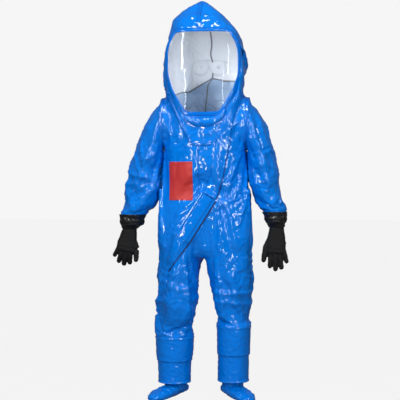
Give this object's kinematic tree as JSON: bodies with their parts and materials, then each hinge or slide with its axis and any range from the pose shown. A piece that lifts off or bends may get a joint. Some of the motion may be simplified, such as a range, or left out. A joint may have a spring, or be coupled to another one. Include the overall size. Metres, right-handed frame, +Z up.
{
  "type": "chemical protective suit",
  "caption": "Encapsulating protective suit with hood, clear visor, back pouch, attached gloves and booties, and a diagonal zip under a storm flap.",
  "frame": {"origin": "midway between the two shoulder joints, inside the chest", "axes": "+Z up along the body, -Y to the wearer's front, +X to the wearer's left"},
  "size_m": [0.8648, 0.4945, 1.9338],
  "materials": {
    "blue_laminate": "glossy coated film laminate",
    "clear_visor": "clear flexible sheet",
    "red_patch": "matt printed film",
    "black_glove": "matt rubber",
    "black_gauntlet": "glossy rubber",
    "zip_tape": "woven coated tape",
    "zip_teeth": "moulded",
    "zip_metal": "nickel plated",
    "hook_and_loop": "woven",
    "valve_grey": "moulded",
    "valve_rubber": "silicone",
    "cuff_ring": "moulded"
  },
  "bodies": {
    "suit_body": {"hood_shell": "blue_laminate", "hood_seam_tape": "blue_laminate", "visor_lens": "clear_visor", "visor_seal": "blue_laminate", "chin_roll": "blue_laminate", "coverall_body": "blue_laminate", "back_pouch": "blue_laminate", "chest_patch": "red_patch", "valve_housings": "valve_grey", "valve_nuts": "valve_grey", "valve_caps": "valve_grey", "zip_tape_hinge_side": "zip_tape", "zip_tape_edge_side": "zip_tape", "zip_teeth_hinge_side": "zip_teeth", "zip_teeth_edge_side": "zip_teeth", "flap_loop_strip": "hook_and_loop", "flap_base": "blue_laminate", "upper_flap": "blue_laminate", "upper_chain": "zip_teeth", "lower_flap": "blue_laminate", "right_groin_fold": "blue_laminate", "left_groin_fold": "blue_laminate"},
    "storm_flap": {"storm_flap": "blue_laminate", "flap_hook_strip": "hook_and_loop"},
    "zip_slider": {"zip_slider": "zip_metal", "zip_pull": "zip_metal"},
    "right_valve_flap": {"right_valve_flap": "valve_rubber"},
    "right_upper_arm": {"right_upper_sleeve": "blue_laminate", "right_elbow_fold": "blue_laminate"},
    "right_forearm": {"right_forearm_sleeve": "blue_laminate", "right_cuff_ring": "cuff_ring", "right_gauntlet": "black_gauntlet", "right_cuff_band": "black_gauntlet", "right_wrist_fold": "black_glove"},
    "right_hand": {"right_glove": "black_glove"},
    "right_thigh": {"right_thigh": "blue_laminate", "right_knee_fold": "blue_laminate"},
    "right_shin": {"right_shin": "blue_laminate", "right_flap_band": "blue_laminate", "right_ankle_fold": "blue_laminate"},
    "right_boot_flap": {"right_flap_skirt": "blue_laminate"},
    "right_foot": {"right_bootie": "blue_laminate"},
    "left_valve_flap": {"left_valve_flap": "valve_rubber"},
    "left_upper_arm": {"left_upper_sleeve": "blue_laminate", "left_elbow_fold": "blue_laminate"},
    "left_forearm": {"left_forearm_sleeve": "blue_laminate", "left_cuff_ring": "cuff_ring", "left_gauntlet": "black_gauntlet", "left_cuff_band": "black_gauntlet", "left_wrist_fold": "black_glove"},
    "left_hand": {"left_glove": "black_glove"},
    "left_thigh": {"left_thigh": "blue_laminate", "left_knee_fold": "blue_laminate"},
    "left_shin": {"left_shin": "blue_laminate", "left_flap_band": "blue_laminate", "left_ankle_fold": "blue_laminate"},
    "left_boot_flap": {"left_flap_skirt": "blue_laminate"},
    "left_foot": {"left_bootie": "blue_laminate"}
  },
  "joints": [
    {"name": "right_shoulder", "type": "hinge", "parent": "suit_body", "child": "right_upper_arm", "pos_m": [-0.206, 0, 0], "axis": [-1, 0, 0], "range_deg": [-30, 90]},
    {"name": "right_elbow", "type": "hinge", "parent": "right_upper_arm", "child": "right_forearm", "pos_m": [-0.295, 0, -0.23], "axis": [-1, 0, 0], "range_deg": [0, 80], "deforming": ["right_elbow_fold"]},
    {"name": "right_wrist", "type": "hinge", "parent": "right_forearm", "child": "right_hand", "pos_m": [-0.378, 0, -0.524], "axis": [-1, 0, 0], "range_deg": [-30, 30], "deforming": ["right_wrist_fold"]},
    {"name": "right_hip", "type": "hinge", "parent": "suit_body", "child": "right_thigh", "pos_m": [-0.12, 0, -0.65], "axis": [-1, 0, 0], "range_deg": [0, 60], "deforming": ["right_groin_fold", "lower_flap"]},
    {"name": "right_knee", "type": "hinge", "parent": "right_thigh", "child": "right_shin", "pos_m": [-0.125, 0, -0.87], "axis": [1, 0, 0], "range_deg": [0, 80], "deforming": ["right_knee_fold"]},
    {"name": "right_ankle", "type": "hinge", "parent": "right_shin", "child": "right_foot", "pos_m": [-0.155, 0.004, -1.195], "axis": [-1, 0, 0], "range_deg": [-7, 8], "deforming": ["right_ankle_fold"]},
    {"name": "right_boot_flap_lift", "type": "slide", "parent": "right_shin", "child": "right_boot_flap", "axis": [0, 0, 1], "range_m": [0, 0.065]},
    {"name": "right_valve_lift", "type": "slide", "parent": "suit_body", "child": "right_valve_flap", "axis": [0, 1, 0], "range_m": [0, 0.0025]},
    {"name": "left_shoulder", "type": "hinge", "parent": "suit_body", "child": "left_upper_arm", "pos_m": [0.206, 0, 0], "axis": [-1, 0, 0], "range_deg": [-30, 90]},
    {"name": "left_elbow", "type": "hinge", "parent": "left_upper_arm", "child": "left_forearm", "pos_m": [0.295, 0, -0.23], "axis": [-1, 0, 0], "range_deg": [0, 80], "deforming": ["left_elbow_fold"]},
    {"name": "left_wrist", "type": "hinge", "parent": "left_forearm", "child": "left_hand", "pos_m": [0.346, 0, -0.515], "axis": [-1, 0, 0], "range_deg": [-30, 30], "deforming": ["left_wrist_fold"]},
    {"name": "left_hip", "type": "hinge", "parent": "suit_body", "child": "left_thigh", "pos_m": [0.12, 0, -0.65], "axis": [-1, 0, 0], "range_deg": [0, 60], "deforming": ["left_groin_fold"]},
    {"name": "left_knee", "type": "hinge", "parent": "left_thigh", "child": "left_shin", "pos_m": [0.125, 0, -0.87], "axis": [1, 0, 0], "range_deg": [0, 80], "deforming": ["left_knee_fold"]},
    {"name": "left_ankle", "type": "hinge", "parent": "left_shin", "child": "left_foot", "pos_m": [0.134, 0.004, -1.195], "axis": [-1, 0, 0], "range_deg": [-7, 8], "deforming": ["left_ankle_fold"]},
    {"name": "left_boot_flap_lift", "type": "slide", "parent": "left_shin", "child": "left_boot_flap", "axis": [0, 0, 1], "range_m": [0, 0.1]},
    {"name": "left_valve_lift", "type": "slide", "parent": "suit_body", "child": "left_valve_flap", "axis": [0, 1, 0], "range_m": [0, 0.0025]},
    {"name": "storm_flap_open", "type": "hinge", "parent": "suit_body", "child": "storm_flap", "pos_m": [-0.06054, -0.151, -0.44386], "axis": [-0.5344, 0, -0.8453], "range_deg": [0, 120]},
    {"name": "zip_slide", "type": "slide", "parent": "suit_body", "child": "zip_slider", "axis": [0.5344, 0, 0.8453], "range_m": [0, 0.2]}
  ]
}
